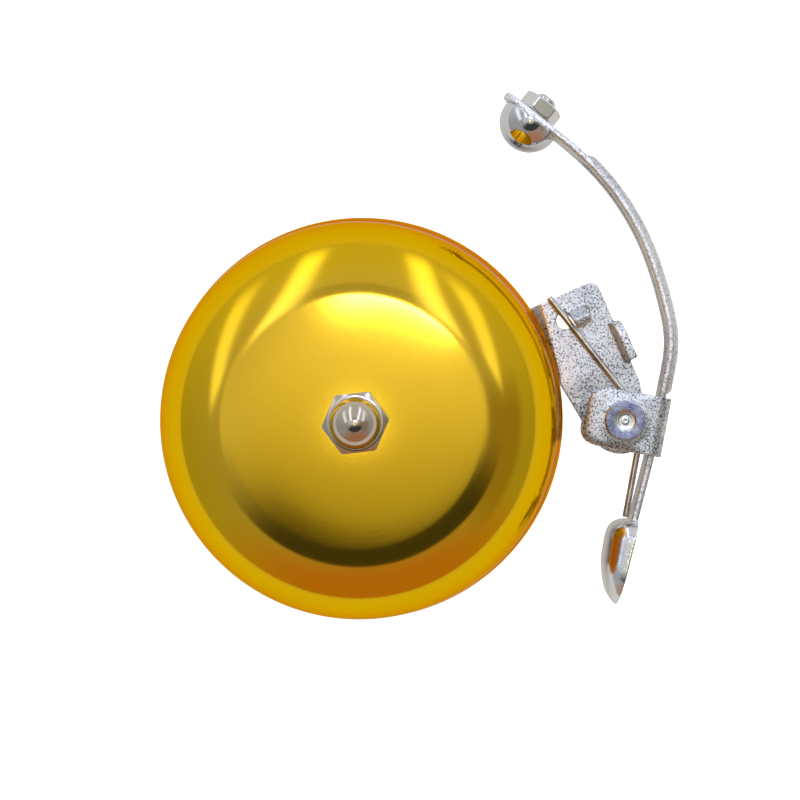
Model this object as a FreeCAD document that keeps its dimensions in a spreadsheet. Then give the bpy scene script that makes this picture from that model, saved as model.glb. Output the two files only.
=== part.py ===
import FreeCAD, Part
import Sketcher
import math
import os
import re
from FreeCAD import Placement, Rotation, Vector

# A pull-and-release hammer bell for a bicycle's handlebar. A domed shell sits on a stud, over a bracket that
# a two-piece band clamps to the bar. A sprung striker turns on a rivet in the bracket's wing, by the shell:
# pressing its thumb pad swings the hammer away from the shell, and letting go lets the spring throw it back.
# Frame: the origin is the centre of the clamp's bore, +X runs along the bar and +Z up the shell's axis.
# The striker is modelled cocked, with its thumb pad pressed.

DRIVING = {
    "bar_radius": 11.1,
    "band_sheet": 1.2,
    "band_width": 14.0,
    "split_gap": 1.2,
    "ear_reach": 22.0,
    "clamp_screw_offset": 17.5,
    "clamp_screw_radius": 2.0,
    "boss_half_width": 6.2,
    "boss_rise": 1.4,
    "stud_radius": 2.5,
    "stud_nut_width": 8.0,
    "stud_nut_height": 4.0,
    "acorn_turn": -23.5,
    "shell_radius": 30.0,
    "shell_height": 28.0,
    "shell_wall": 1.8,
    "crown_radius": 17.3,
    "crown_rise": 0.7,
    "shoulder_radius": 11.0,
    "skirt_inset": 0.35,
    "rim_gap": 2.0,
    "plate_sheet": 1.5,
    "wing_lift": -1.7,
    "wing_turn": 23.5,
    "wing_top": 5.09,
    "wing_right": 40.32,
    "fold_distance": 30.3,
    "fold_turn": -8.42,
    "stop_inset": 0.95,
    "stop_sheet": 1.35,
    "stop_lean": 0.45,
    "tongue_drop": 0.1,
    "ear_clearance": 0.3,
    "pivot_x": 38.76,
    "pivot_y": -0.22,
    "pivot_shank": 1.6,
    "pivot_head": 3.0,
    "lever_sheet": 0.9,
    "lever_gap": 6.8,
    "lever_turn": -10.5,
    "wire_diameter": 0.95,
    "coil_radius": 2.86,
    "coil_pitch": 1.0,
    "coil_turns": 3.0,
    "fixed_leg_turn": 38.3,
    "free_leg_turn": -10.3,
    "fixed_leg": 19.95,
    "free_leg": 12.9,
    "leg_bend": 20.0,
    "arm_sheet": 1.0,
    "arm_width": 6.0,
    "arm_offset": 4.99,
    "hammer_radius": 4.5,
    "hammer_nut_width": 5.5,
}
d = dict(DRIVING)

# Levels up the shell's axis, and sizes that follow from the driving dimensions.
d["band_radius"] = d["bar_radius"] + d["band_sheet"]
d["boss_top"] = d["band_radius"] + d["boss_rise"]
d["base_top"] = d["boss_top"] + d["plate_sheet"]
d["rim_level"] = d["base_top"] + d["rim_gap"]
d["crown_level"] = d["rim_level"] + d["shell_height"]
d["wing_level"] = d["rim_level"] + d["wing_lift"]
d["tongue_level"] = d["wing_level"] - d["tongue_drop"]
d["tongue_upper"] = d["tongue_level"] + d["plate_sheet"]
d["rear_ear_level"] = d["tongue_level"] - d["ear_clearance"] - d["lever_sheet"]
d["front_ear_level"] = d["rear_ear_level"] + d["lever_sheet"] + d["lever_gap"]
d["lever_height"] = d["lever_gap"] + 2 * d["lever_sheet"]
d["coil_level"] = d["wing_level"] + d["plate_sheet"] + 0.05 + d["wire_diameter"] / 2
d["arm_level"] = d["rear_ear_level"] + d["lever_height"] / 2
d["ear_hole"] = d["pivot_shank"] + 0.05
TURN = math.radians(d["wing_turn"])
d["pivot_u"] = d["pivot_x"] * math.cos(TURN) + d["pivot_y"] * math.sin(TURN)
d["pivot_v"] = d["pivot_y"] * math.cos(TURN) - d["pivot_x"] * math.sin(TURN)

doc = FreeCAD.newDocument("bicycle_bell")
dims = doc.addObject("Spreadsheet::Sheet", "Dims")
for row, (alias, size) in enumerate(d.items(), 1):
    dims.set(f"A{row}", alias)
    dims.set(f"B{row}", str(size))
    dims.setAlias(f"B{row}", alias)
doc.recompute()


def bound(expression):
    """The expression with each dimension named as a cell of the sheet."""
    return re.sub(r"[a-z]\w+", lambda word: "Dims." + word[0] if word[0] in d else word[0], expression)


def number(expression):
    return float(dims.evalExpression(expression))


def bind(thing, **expressions):
    """Binds properties to the sheet. Two underscores in a name stand for a dot."""
    for name, expression in expressions.items():
        thing.setExpression(name.replace("__", "."), bound(expression))


def new_body(label):
    body = doc.addObject("PartDesign::Body", label)
    body.Label = label
    return body


def new_sketch(body, name, role="XY_Plane", level="0"):
    """A sketch on one of its body's own planes, lifted along the plane's normal."""
    sketch = body.newObject("Sketcher::SketchObject", name)
    plane = [feature for feature in body.Origin.OriginFeatures if feature.Role == role][0]
    sketch.AttachmentSupport = [(plane, "")]
    sketch.MapMode = "FlatFace"
    bind(sketch, AttachmentOffset__Base__z=level)
    return sketch


def pin(sketch, edge, end, corner):
    """Places a point of the sketch by two expressions."""
    for kind, expression in zip(("DistanceX", "DistanceY"), corner):
        index = sketch.addConstraint(Sketcher.Constraint(kind, -1, 1, edge, end, number(expression)))
        sketch.setExpression(f"Constraints[{index}]", bound(expression))


def arc_between(start, finish, radius):
    """An arc that turns left from start to finish, or right if the radius is negative."""
    chord = finish - start
    rise = math.sqrt(radius**2 - (chord.Length / 2) ** 2)
    side = Vector(-chord.y, chord.x, 0).normalize() * math.copysign(rise, radius)
    centre = (start + finish) / 2 + side
    first, last = (start, finish) if radius > 0 else (finish, start)
    angles = [math.atan2(point.y - centre.y, point.x - centre.x) for point in (first, last)]
    circle = Part.Circle(centre, Vector(0, 0, 1), abs(radius))
    return Part.ArcOfCircle(circle, angles[0], angles[1] + (2 * math.pi if angles[1] < angles[0] else 0))


def draw(sketch, corners):
    """Draws a closed outline through corners (x, y), all expressions. A third expression makes the edge
    that leaves the corner an arc of that radius, turning left if it is positive and right if negative."""
    points = [Vector(number(corner[0]), number(corner[1]), 0) for corner in corners]
    ends = []
    for index, start in enumerate(points):
        finish = points[(index + 1) % len(points)]
        radius = number(corners[index][2]) if len(corners[index]) == 3 else 0
        edge = arc_between(start, finish, radius) if radius else Part.LineSegment(start, finish)
        number_of_edge = sketch.addGeometry(edge)
        ends.append((number_of_edge, 1, 2) if radius >= 0 else (number_of_edge, 2, 1))
        if radius:
            radius_rule = sketch.addConstraint(Sketcher.Constraint("Radius", number_of_edge, abs(radius)))
            sketch.setExpression(f"Constraints[{radius_rule}]", f"abs({bound(corners[index][2])})")
    for index, (edge, start, finish) in enumerate(ends):
        following = ends[(index + 1) % len(ends)]
        pin(sketch, edge, start, corners[index])
        sketch.addConstraint(Sketcher.Constraint("Coincident", edge, finish, following[0], following[1]))


def ring(sketch, centre, radius):
    middle = Vector(number(centre[0]), number(centre[1]), 0)
    edge = sketch.addGeometry(Part.Circle(middle, Vector(0, 0, 1), number(radius)))
    pin(sketch, edge, 3, centre)
    rule = sketch.addConstraint(Sketcher.Constraint("Radius", edge, number(radius)))
    sketch.setExpression(f"Constraints[{rule}]", bound(radius))


def hexagon(sketch, width):
    """A hexagon about the sketch's origin, with two of its sides across X."""
    half = f"({width}) / 2"
    side = f"({width}) * {0.5 / math.cos(math.pi / 6)}"
    draw(sketch, [(half, f"-{side} / 2"), (half, f"{side} / 2"), ("0", side), (f"-{half}", f"{side} / 2"),
                  (f"-{half}", f"-{side} / 2"), ("0", f"-{side}")])


def pad(body, sketch, length, symmetric=False):
    feature = body.newObject("PartDesign::Pad", sketch.Name + "_pad")
    feature.Profile = sketch
    feature.SideType = "Symmetric" if symmetric else "One side"
    bind(feature, Length=length)
    return feature


def cut_through(body, sketch, both_ways=True):
    """A hole right through the body, from its sketch."""
    before = solid_volume(body)
    feature = body.newObject("PartDesign::Pocket", sketch.Name + "_cut")
    feature.Profile = sketch
    feature.Type = "ThroughAll"
    feature.SideType = "Symmetric" if both_ways else "One side"
    if solid_volume(body) >= before:
        raise RuntimeError(f"{sketch.Name} cuts nothing")
    return feature


def solid_volume(body):
    doc.recompute()
    return body.Shape.Volume


def turned(body, corners, cut=False):
    """Adds, or cuts, a profile of (radius, height) corners turned about the body's own Z axis."""
    before = solid_volume(body) if cut else 0
    kind = "Groove" if cut else "Revolution"
    sketch = new_sketch(body, f"{body.Label}_{kind.lower()}_profile", "XZ_Plane")
    draw(sketch, corners)
    feature = body.newObject(f"PartDesign::{kind}", f"{body.Label}_{kind.lower()}")
    feature.Profile = sketch
    feature.ReferenceAxis = (sketch, ["V_Axis"])
    feature.Angle = 360
    if cut and solid_volume(body) >= before:
        raise RuntimeError(f"{body.Label}: the groove cuts nothing")
    return feature


def round_edges(body, radius, chosen):
    """Fillets the edges of the body's last feature that the test picks."""
    doc.recompute()
    base = body.Tip
    names = [f"Edge{i}" for i, edge in enumerate(base.Shape.Edges, 1) if chosen(edge)]
    feature = body.newObject("PartDesign::Fillet", f"{body.Label}_round_{len(body.Group)}")
    feature.Base = (base, names)
    bind(feature, Radius=radius)
    return feature


def hex_nut(label, width, height, bore, level):
    """A hexagon nut with both faces chamfered, its lower face at the given level."""
    body = new_body(label)
    outline = new_sketch(body, label + "_outline")
    hexagon(outline, width)
    pad(body, outline, height)
    chamfer_hexagon(body, width, height)
    bore_sketch = new_sketch(body, label + "_bore")
    ring(bore_sketch, ("0", "0"), bore)
    cut_through(body, bore_sketch)
    if level is not None:
        bind(body, Placement__Base__z=level)
    return body


def chamfer_hexagon(body, width, height, lower=True):
    """Turns the corners off a hexagon at its upper face, and at its lower face too."""
    face, corner, drop = f"({width}) * 0.475", f"({width}) * 0.6", f"({width}) * 0.125 * 0.577"
    turned(body, [
        (face, height), (corner, f"{height} - {drop}"), (corner, f"{height} + 1"), (face, f"{height} + 1"),
    ], cut=True)
    if lower:
        turned(body, [(face, "0"), (face, "-1"), (corner, "-1"), (corner, drop)], cut=True)


def washer(label, inner, outer, thickness, level):
    body = new_body(label)
    outline = new_sketch(body, label + "_outline")
    ring(outline, ("0", "0"), outer)
    ring(outline, ("0", "0"), inner)
    pad(body, outline, thickness)
    bind(body, Placement__Base__z=level)
    return body


def spring_washer(label, inner, outer, thickness, level):
    """A lock washer with a slanted split across one side."""
    body = washer(label, inner, outer, thickness, level)
    split = new_sketch(body, label + "_split", "XZ_Plane")
    below, above = "-0.1", f"{thickness} + 0.1"
    draw(split, [("-0.6", below), ("-0.1", below), ("0.6", above), ("0.1", above)])
    cut_through(body, split, both_ways=False)
    return body


def bell_shell():
    """A spun dome: a nearly flat crown, a round shoulder, a slightly flared skirt and a lip at the rim."""
    body = new_body("bell_shell")
    hole = "stud_radius + 0.1"
    curve = "(crown_radius ^ 2 + crown_rise ^ 2) / (2 * crown_rise)"
    at_hole = f"shell_height - ({hole}) ^ 2 / (2 * {curve})"
    shoulder_top = "shell_height - crown_rise"
    shoulder_foot = f"{shoulder_top} - shoulder_radius"
    skirt = "crown_radius + shoulder_radius"
    turned(body, [
        (hole, f"{at_hole} - shell_wall"), (hole, at_hole, f"-({curve})"),
        ("crown_radius", shoulder_top, "-shoulder_radius"), (skirt, shoulder_foot),
        ("shell_radius - skirt_inset", "1.1"), ("shell_radius", "0.6"), ("shell_radius", "0.2"),
        ("shell_radius - 0.2", "0"), ("shell_radius - skirt_inset - shell_wall + 0.3", "0"),
        ("shell_radius - skirt_inset - shell_wall", "0.3"),
        (f"{skirt} - shell_wall", shoulder_foot, "shoulder_radius - shell_wall"),
        ("crown_radius", f"{shoulder_top} - shell_wall", f"{curve} - shell_wall"),
    ])
    bind(body, Placement__Base__z="rim_level")
    return body


def acorn_nut():
    """The domed nut that holds the shell: a hexagon, a collar and a hollow dome over the stud's end."""
    body = new_body("acorn_nut")
    outline = new_sketch(body, "acorn_nut_outline")
    hexagon(outline, "stud_nut_width")
    pad(body, outline, "4.2")
    chamfer_hexagon(body, "stud_nut_width", "4.2")
    dome = "stud_nut_width * 0.43"
    turned(body, [("0", "3.8"), (dome, "3.8"), (dome, "5.2", dome), ("0", f"5.2 + {dome}")])
    turned(body, [("0", "-0.5"), ("stud_radius + 0.02", "-0.5"), ("stud_radius + 0.02", "5.6"), ("0", "6.6")],
           cut=True)
    bind(body, Placement__Base__z="crown_level + 0.02", Placement__Rotation__Angle="acorn_turn")
    return body


def centre_stud():
    """The stud up the shell's axis, with its foot riveted over inside the saddle's boss."""
    body = new_body("centre_stud")
    top = "crown_level + 5.2"
    turned(body, [
        ("0", "bar_radius + 0.2"), ("3.4", "bar_radius + 0.2"), ("4", "bar_radius + 0.8"),
        ("4", "boss_top - band_sheet"), ("stud_radius", "boss_top - band_sheet"),
        ("stud_radius", f"{top} - 0.6"), ("stud_radius - 0.6", top), ("0", top),
    ])
    return body


def clamp_band(label, upper):
    """Half of the clamp's band, with a flat ear each side. The upper half has a raised boss for the stud."""
    body = new_body(label)
    sign = "" if upper else "-"
    lip, back = "split_gap / 2", "split_gap / 2 + band_sheet"
    inner = "sqrt(bar_radius ^ 2 - (split_gap / 2) ^ 2)"
    outer = "sqrt(band_radius ^ 2 - (split_gap / 2 + band_sheet) ^ 2)"
    side = [(inner, lip), ("ear_reach", lip), ("ear_reach", back)]
    if upper:
        foot, hollow = "boss_half_width + 0.7", "boss_half_width - 0.5"
        crest = [
            (outer, back, "band_radius"), (foot, f"sqrt(band_radius ^ 2 - ({foot}) ^ 2)"),
            ("boss_half_width", "boss_top"), ("-boss_half_width", "boss_top"),
            (f"-({foot})", f"sqrt(band_radius ^ 2 - ({foot}) ^ 2)", "band_radius"), (f"-{outer}", back),
        ]
        ceiling, inset = "boss_top - band_sheet", "1.1"
        vault = [
            (f"-{inner}", lip, "-bar_radius"), (f"-({hollow})", f"sqrt(bar_radius ^ 2 - ({hollow}) ^ 2)"),
            (f"{inset} - boss_half_width", ceiling), (f"boss_half_width - {inset}", ceiling),
            (hollow, f"sqrt(bar_radius ^ 2 - ({hollow}) ^ 2)", "-bar_radius"),
        ]
    else:
        crest = [(outer, back, "band_radius"), (f"-{outer}", back)]
        vault = [(f"-{inner}", lip, "-bar_radius")]
    corners = side + crest + [("-ear_reach", back), ("-ear_reach", lip)] + vault
    if not upper:
        corners = [(x, f"-({z})") + tuple(f"-({r})" for r in radius) for x, z, *radius in corners]
    profile = new_sketch(body, label + "_profile", "YZ_Plane")
    draw(profile, corners)
    pad(body, profile, "band_width", symmetric=True)
    round_edges(body, "3", lambda edge: runs_along(edge, Vector(0, 0, 1))
                and abs(edge.CenterOfMass.y) > number("ear_reach") - 0.1)
    holes = new_sketch(body, label + "_screw_holes")
    ring(holes, ("0", "clamp_screw_offset"), "clamp_screw_radius + 0.15")
    ring(holes, ("0", "-clamp_screw_offset"), "clamp_screw_radius + 0.15")
    cut_through(body, holes)
    if upper:
        stud_hole = new_sketch(body, label + "_stud_hole")
        ring(stud_hole, ("0", "0"), "stud_radius + 0.02")
        cut_through(body, stud_hole)
    return body


def runs_along(edge, axis):
    """Whether an edge is straight and parallel to an axis."""
    return edge.Curve.TypeId == "Part::GeomLine" and edge.Curve.Direction.cross(axis).Length < 1e-6


def on_axis(body, x, y, turn="0"):
    """Moves a body sideways, and turns it about its own Z axis."""
    bind(body, Placement__Base__x=x, Placement__Base__y=y, Placement__Rotation__Angle=turn)
    return body


def at_pivot(body, turn="0"):
    return on_axis(body, "pivot_x", "pivot_y", turn)


def pair(label, make):
    """The two clamp fasteners of one kind, one each side of the bar, in one node."""
    sides = []
    for side, sign in (("front", "-"), ("rear", "")):
        body = make(f"{label}_{side}")
        sides.append(on_axis(body, "0", f"{sign}clamp_screw_offset"))
    group = doc.addObject("Part::Compound", label)
    group.Label = label
    group.Links = sides
    return group


def clamp_screw(label):
    """A slotted pan-head screw, pushed up through the clamp's ears."""
    body = new_body(label)
    head, tip = "-2.6", "split_gap + 2 * band_sheet + 5.2"
    turned(body, [
        ("0", head), ("3.1", head), ("4", f"{head} + 0.9"), ("4", "0"), ("clamp_screw_radius", "0"),
        ("clamp_screw_radius", f"{tip} - 0.5"), ("clamp_screw_radius - 0.5", tip), ("0", tip),
    ])
    slot = new_sketch(body, label + "_slot", "XZ_Plane")
    below, bottom = f"{head} - 0.5", f"{head} + 1.2"
    draw(slot, [("-0.5", below), ("0.5", below), ("0.5", bottom), ("-0.5", bottom)])
    cut_through(body, slot)
    bind(body, Placement__Base__z="-(split_gap / 2 + band_sheet)")
    return body


def mounting_bracket():
    """The plate under the shell. It rises by the shell's rim to a wing that carries the striker, with a stop
    tab turned up at its edge and a small tab lanced out of it that the spring's fixed leg bears on."""
    body = new_body("mounting_bracket")
    wing, sheet = "(wing_level - boss_top)", "plate_sheet"
    outline = new_sketch(body, "bracket_outline")
    draw(outline, [
        ("sqrt(9 ^ 2 - 6.4 ^ 2)", "-6.4"), ("29.2", "-6.4"), ("29.42", "-8.6"), ("wing_right", "-8.6"),
        ("wing_right", "wing_top - 1.5", "1.5"), ("wing_right - 1.5", "wing_top"),
        ("sqrt(9 ^ 2 - wing_top ^ 2)", "wing_top", "9"), ("-9", "0", "9"),
    ])
    pad(body, outline, f"{wing} + {sheet}")
    fold, thin_side = "fold_distance", f"{sheet} * tan(22.5)"
    cut_at_fold(body, "ramp_underside", [
        (f"{fold} - {wing} + {thin_side}", "-1"), (f"{fold} - {wing} + {thin_side}", "0"),
        (f"{fold} + {thin_side}", wing), ("60", wing), ("60", "-1"),
    ])
    tongue = new_sketch(body, "tongue_outline", "XY_Plane", f"{wing} - tongue_drop")
    clear, full = "3.9", "5.1"
    draw(tongue, [
        ("29.36", "-8.0"), (f"pivot_u - {full}", "pivot_v", full), ("pivot_u", f"pivot_v - {full}"),
        (f"pivot_u + {clear} * cos(50)", f"pivot_v - {clear} * sin(50)", clear),
        (f"pivot_u + {clear} * cos(11.2)", f"pivot_v - {clear} * sin(11.2)"),
        ("wing_right", "pivot_v + 4.3"), ("wing_right", "-8.0"),
    ])
    pad(body, tongue, sheet)
    clear_above = f"{wing} + 5"
    cut_at_fold(body, "ramp_top", [
        ("-20", sheet), (f"{fold} - {wing}", sheet), (fold, f"{wing} + {sheet}"), (fold, clear_above),
        ("-20", clear_above),
    ])
    window = new_sketch(body, "lanced_window", "XY_Plane", wing)
    draw(window, [
        ("33.5", "0"), ("35.8", "0"), ("37.6", "1"), ("37.6", "1.7"), ("34.4", "1.7"), ("34.2", "2.6"),
        ("33.5", "2.6", "1.32"),
    ])
    cut_through(body, window)
    lanced = new_sketch(body, "lanced_tab", "YZ_Plane", "34.65")
    draw(lanced, [("1.7", wing), ("2.9", wing), ("0.9", f"{wing} + 4.9"), ("-0.3", f"{wing} + 4.7")])
    pad(body, lanced, "2.6")
    stop = new_sketch(body, "stop_tab", "XZ_Plane", "1.7")
    inner, outer = "(wing_right - stop_inset)", "(wing_right - stop_inset + stop_sheet)"
    draw(stop, [(inner, wing), (f"{outer} - 1.2", wing, "1.2"), (outer, f"{wing} + 1.2"),
                (f"{outer} + stop_lean", f"{wing} + 5"), (f"{inner} + stop_lean", f"{wing} + 5")])
    pad(body, stop, "6.2")
    round_edges(body, "2", lambda edge: runs_along(edge, Vector(1, 0, 0)) and edge.CenterOfMass.y > -2
                and edge.CenterOfMass.x > number("wing_right - stop_inset")
                and edge.CenterOfMass.z > number(wing) + 4)
    holes = new_sketch(body, "bracket_holes")
    ring(holes, ("0", "0"), "stud_radius + 0.02")
    ring(holes, ("pivot_u", "pivot_v"), "pivot_shank + 0.02")
    cut_through(body, holes)
    bind(body, Placement__Base__z="boss_top", Placement__Rotation__Angle="wing_turn")
    return body


def cut_at_fold(body, name, corners):
    """Cuts a side profile, drawn square to the fold between base and wing, right across the plate."""
    profile = new_sketch(body, name, "XZ_Plane")
    profile.AttachmentOffset = Placement(Vector(), Rotation(Vector(0, 1, 0), d["fold_turn"]))
    draw(profile, corners)
    cut_through(body, profile)


def pivot_rivet():
    """The striker's axle: a flat head with a peened dimple, a shank and a tail set over its washer."""
    body = new_body("pivot_rivet")
    tail, under = "rear_ear_level - 1.65", "rear_ear_level - 0.85"
    top = "front_ear_level + lever_sheet + 1.1"
    turned(body, [
        ("0", tail), ("2.1", tail), ("2.6", f"{tail} + 0.4"), ("2.6", under), ("pivot_shank", under),
        ("pivot_shank", f"{top} - 1"), ("pivot_head", f"{top} - 1"), ("pivot_head", f"{top} - 0.25"),
        ("pivot_head - 0.25", top), ("1.45", top), ("1.1", f"{top} - 0.25"), ("0", f"{top} - 0.3"),
    ])
    return at_pivot(body)


def lever_bracket():
    """The folded fork on the rivet: an ear over the spring, an ear under the wing, and a web by the arm."""
    body = new_body("lever_bracket")
    left, right = "-5.6", "arm_offset + arm_sheet / 2"
    web, high, sheet = f"{right} + lever_sheet", "lever_height", "lever_sheet"
    profile = new_sketch(body, "lever_profile", "XZ_Plane")
    draw(profile, [
        (left, "0"), (web, "0"), (web, high), (left, high), (left, f"{high} - {sheet}"),
        (right, f"{high} - {sheet}"), (right, sheet), (left, sheet),
    ])
    pad(body, profile, "8.8", symmetric=True)
    round_edges(body, "2.4", lambda edge: runs_along(edge, Vector(0, 0, 1)) and edge.CenterOfMass.x < -5)
    round_edges(body, "1.9", lambda edge: runs_along(edge, Vector(0, 1, 0))
                and edge.CenterOfMass.x > number(web) - 0.1)
    round_edges(body, "0.5", lambda edge: runs_along(edge, Vector(0, 1, 0))
                and abs(edge.CenterOfMass.x - number(right)) < 0.1)
    holes = new_sketch(body, "lever_holes")
    ring(holes, ("0", "0"), "ear_hole")
    cut_through(body, holes)
    bind(body, Placement__Base__z="rear_ear_level")
    return at_pivot(body, "lever_turn")


def easing_bend(point, along, climb, radius):
    """A gentle upright arc that eases a level wire, laid along a direction, into a climb to a point."""
    up = Vector(0, 0, 1)
    centre = point - along * radius * math.sin(climb) + up * radius * math.cos(climb)
    level = centre - up * radius
    middle = centre + along * radius * math.sin(climb / 2) - up * radius * math.cos(climb / 2)
    return level, Part.Arc(level, middle, point)


def torsion_spring():
    """The wire spring round the rivet: a fixed leg on the lanced tab, a coil, and a free leg by the arm."""
    radius, pitch, bend = d["coil_radius"], d["coil_pitch"], d["leg_bend"]
    height = pitch * (d["coil_turns"] + (d["fixed_leg_turn"] - d["free_leg_turn"]) / 360)
    coil = Part.makeHelix(pitch, height, radius).mirror(Vector(), Vector(0, 1, 0))
    coil.rotate(Vector(), Vector(0, 0, 1), d["fixed_leg_turn"])
    first, last = radial(d["fixed_leg_turn"]), radial(d["free_leg_turn"])
    start, finish = first * radius, last * radius + Vector(0, 0, height)
    inward, outward = Vector(first.y, -first.x, 0), Vector(last.y, -last.x, 0)
    climb = math.atan(pitch / (2 * math.pi * radius))
    fixed_end, fixed_bend = easing_bend(start, inward, climb, bend)
    free_end, free_bend = easing_bend(finish, outward, climb, -bend)
    fixed_tip, free_tip = fixed_end - inward * d["fixed_leg"], free_end + outward * d["free_leg"]
    lead_in = [Part.LineSegment(fixed_tip, fixed_end).toShape(), fixed_bend.toShape()]
    lead_out = [free_bend.toShape(), Part.LineSegment(free_end, free_tip).toShape()]
    path = Part.Wire(Part.__sortEdges__(lead_in + coil.Edges + lead_out))
    section = Part.Wire(Part.Circle(fixed_tip, inward, d["wire_diameter"] / 2).toShape())
    spring = doc.addObject("Part::Feature", "torsion_spring")
    spring.Label = "torsion_spring"
    spring.Shape = path.makePipeShell([section], True, False)
    spring.Placement = Placement(Vector(d["pivot_x"], d["pivot_y"], d["coil_level"]), Rotation())
    return spring


def radial(degrees):
    angle = math.radians(degrees)
    return Vector(math.cos(angle), math.sin(angle), 0)


# The arm's centreline in its own frame: it starts where the thumb pad begins, heading +Y, and each step is a
# straight length or a left turn (radius, degrees).
ARM_STEPS = [(9.14,), (30.2, 3.3), (8.6,), (4.72,), (16.7, 23.0), (68.8, 7.0), (38.8, 29.5), (82.0, 2.8),
             (9.9,)]
BEAD_STEPS = (3, 7)
BEAD_CREST = 1.4


def side_of_arm(offset, steps):
    """The corners of a line offset to the right of the arm's centreline, for a range of its steps."""
    place, heading, corners = Vector(), 90.0, []
    for index, step in enumerate(ARM_STEPS):
        right = radial(heading - 90)
        wanted = steps[0] <= index < steps[1]
        if len(step) == 1:
            if wanted:
                corners.append((place + right * offset, 0))
            place, heading = place + radial(heading) * step[0], heading
        else:
            radius, turn = step
            if wanted:
                corners.append((place + right * offset, radius + offset))
            place = place - right * radius + radial(heading + turn - 90) * radius
            heading += turn
        if index == steps[1] - 1:
            corners.append((place + radial(heading - 90) * offset, 0))
    return corners


def strip_outline(outer, inner, steps):
    """The closed outline between two offsets of the arm's centreline."""
    out, back = side_of_arm(outer, steps), side_of_arm(inner, steps)
    corners = [(str(point.x), str(point.y)) + ((str(radius),) if radius else ()) for point, radius in out]
    for index in range(len(back) - 1, -1, -1):
        point, radius = back[index][0], back[index - 1][1] if index else 0
        corners.append((str(point.x), str(point.y)) + ((str(-radius),) if radius else ()))
    return corners


def striker_arm():
    """The bent steel strip, with a stiffening bead down its outer side and a dished thumb pad at its end."""
    body = new_body("arm_strip")
    strip = new_sketch(body, "arm_outline")
    half = d["arm_sheet"] / 2
    draw(strip, strip_outline(half, -half, (0, len(ARM_STEPS))))
    pad(body, strip, "arm_width", symmetric=True)
    bead = new_sketch(body, "bead_outline")
    draw(bead, strip_outline(BEAD_CREST, 0.3, BEAD_STEPS))
    pad(body, bead, "2.8", symmetric=True)
    round_edges(body, "0.8", on_bead_crest)
    groove = new_sketch(body, "bead_hollow")
    draw(groove, strip_outline(0.25, -0.7, BEAD_STEPS))
    hollow = body.newObject("PartDesign::Pocket", "bead_hollow_cut")
    hollow.Profile = groove
    hollow.SideType = "Symmetric"
    bind(hollow, Length="1.6")
    place, heading = arm_end()
    hole = new_sketch(body, "hammer_hole", "YZ_Plane", str(place.x))
    hole.AttachmentOffset = Placement(Vector(place.y, 0, place.x), Rotation(Vector(0, 1, 0), heading - 90))
    ring(hole, ("0", "0"), "1.52")
    cut_through(body, hole)
    round_edges(body, "2.2", lambda edge: abs(edge.Length - d["arm_sheet"]) < 1e-3
                and (edge.CenterOfMass - arm_tip()).Length < d["arm_width"])
    arm = doc.addObject("Part::MultiFuse", "striker_arm")
    arm.Label = "striker_arm"
    arm.Shapes = [body, thumb_pad()]
    arm.Placement = ARM_FRAME
    return arm


def on_bead_crest(edge):
    """Whether an edge runs along the bead's crest, from one of its corners to the next."""
    crest = [point for point, _ in side_of_arm(BEAD_CREST, BEAD_STEPS)]
    ends = [Vector(vertex.Point.x, vertex.Point.y, 0) for vertex in edge.Vertexes]
    return edge.Length > 2 and all(min((end - point).Length for point in crest) < 1e-3 for end in ends)


def thumb_pad():
    """A scoop for the thumb, drawn out of the strip's end: deep by the arm, shallow at its rounded tip."""
    outside = thumb_block("thumb_pad_outside", [
        ("0.5", "0.3"), ("-0.9", "0.3"), ("-3.5", "-1.2"), ("-2.95", "-6.6"), ("-1.5", "-10.9"),
        ("0.5", "-12.4"),
    ], "6.5", "-12.1")
    round_edges(outside, "1", lambda edge: edge.CenterOfMass.x < 0.4
                and abs(edge.CenterOfMass.x + 0.9) > 0.05)
    inside = thumb_block("thumb_pad_inside", [
        ("0.6", "-0.6"), ("-0.7", "-0.6"), ("-2.6", "-1.8"), ("-2.05", "-6.5"), ("-0.7", "-10.5"),
        ("0.6", "-11.4"),
    ], "5.6", "-11.2")
    scoop = doc.addObject("Part::Cut", "thumb_pad_scoop")
    scoop.Base, scoop.Tool = outside, inside
    return scoop


def thumb_block(label, corners, half_width, tip):
    """The thumb pad's side view made solid, with its four corners rounded as seen from the thumb's side."""
    body = new_body(label)
    side = new_sketch(body, label + "_side")
    draw(side, corners)
    pad(body, side, f"2 * {half_width}", symmetric=True)
    face = new_sketch(body, label + "_face", "YZ_Plane")
    draw(face, [("-15", "-10"), ("2", "-10"), ("2", "10"), ("-15", "10")])
    top, small, large = corners[0][1], "2.5", "5"
    draw(face, [
        (f"{tip} + {large}", f"-{half_width}"), (f"{top} - {small}", f"-{half_width}", small),
        (top, f"{small} - {half_width}"), (top, f"{half_width} - {small}", small),
        (f"{top} - {small}", half_width), (f"{tip} + {large}", half_width, large),
        (tip, f"{half_width} - {large}"), (tip, f"{large} - {half_width}", large),
    ])
    cut_through(body, face)
    return body


ARM_FRAME = Placement(Vector(40.29, -15.42, d["arm_level"]), Rotation(Vector(0, 0, 1), 75.77 - 90))


def arm_tip():
    return side_of_arm(0, (0, len(ARM_STEPS)))[-1][0]


def arm_end():
    """The hammer's place on the arm's centreline, 5.4 mm short of its tip, and the heading there."""
    heading = 90 + sum(step[1] for step in ARM_STEPS if len(step) == 2)
    return arm_tip() - radial(heading) * 5.4, heading


def on_hammer_line(body, away):
    """Stands a body on the arm at the hammer's hole: on its inner face, or its outer face if it is away."""
    place, heading = arm_end()
    outward = ARM_FRAME.Rotation.multVec(radial(heading - 90))
    direction = outward if away else -outward
    seat = ARM_FRAME.multVec(place) + direction * (d["arm_sheet"] / 2)
    body.Placement = Placement(seat, Rotation(Vector(0, 0, 1), direction))
    return body


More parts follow.
